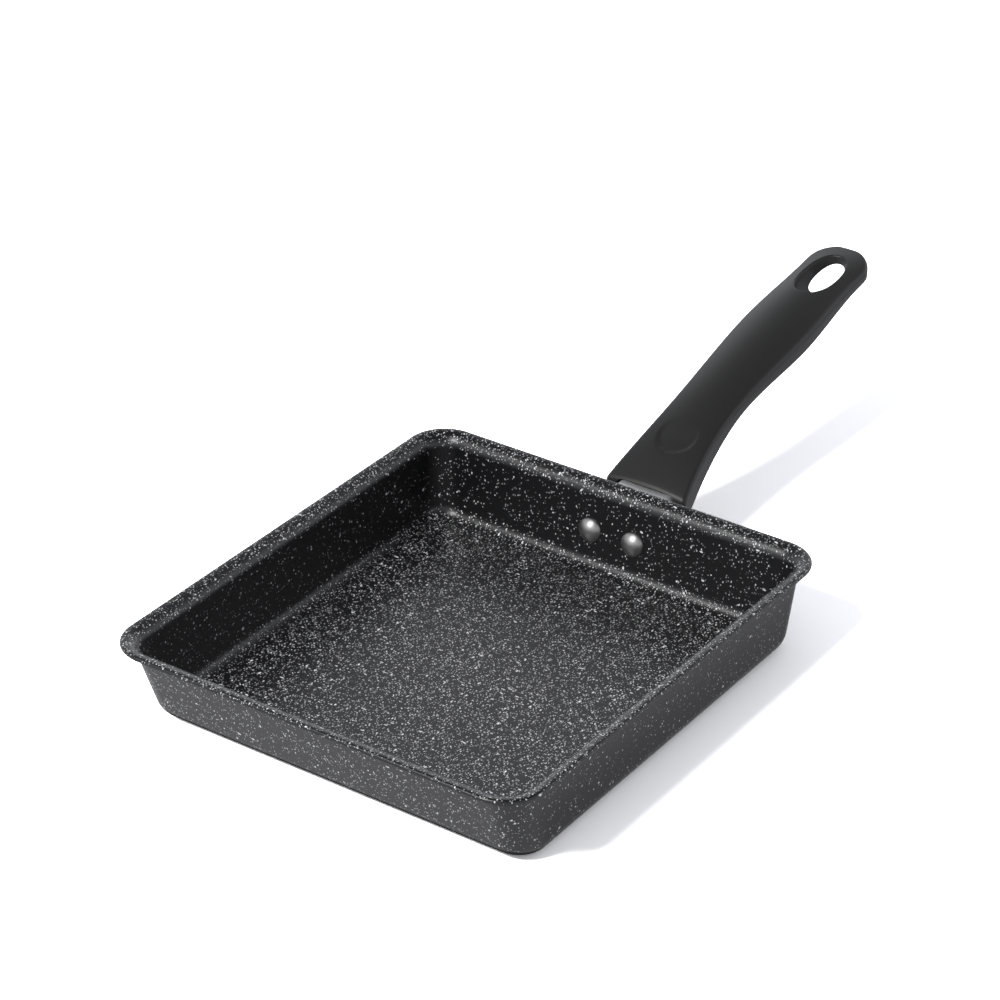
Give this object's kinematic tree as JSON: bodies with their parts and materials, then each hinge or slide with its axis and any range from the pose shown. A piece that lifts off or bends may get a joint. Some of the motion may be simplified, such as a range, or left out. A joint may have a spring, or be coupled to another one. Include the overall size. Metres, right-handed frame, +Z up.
{
  "type": "square rolled-omelette frying pan",
  "caption": "Square pressed pan with flared rim, sloped front wall and speckled dark coating, with a moulded handle on a riveted steel bracket.",
  "frame": {"origin": "on the table surface, under the middle of the pan's rim", "axes": "+X from the pan's front wall towards the handle, +Y to the left seen from the front wall, +Z up"},
  "size_m": [0.3709, 0.18, 0.0695],
  "materials": {
    "coating": "dark non-stick coating with pale stone-like flecks over pressed aluminium",
    "rivet": "satin",
    "bracket": "bright stamped sheet",
    "handle": "satin moulded heat-resistant plastic",
    "fastener": "zinc plated"
  },
  "bodies": {
    "root": {"pan_body": "coating", "rivet_left": "rivet", "rivet_right": "rivet", "bracket": "bracket", "handle": "handle", "handle_screw": "fastener", "spring_washer": "fastener", "tang_nut": "fastener"}
  },
  "joints": []
}
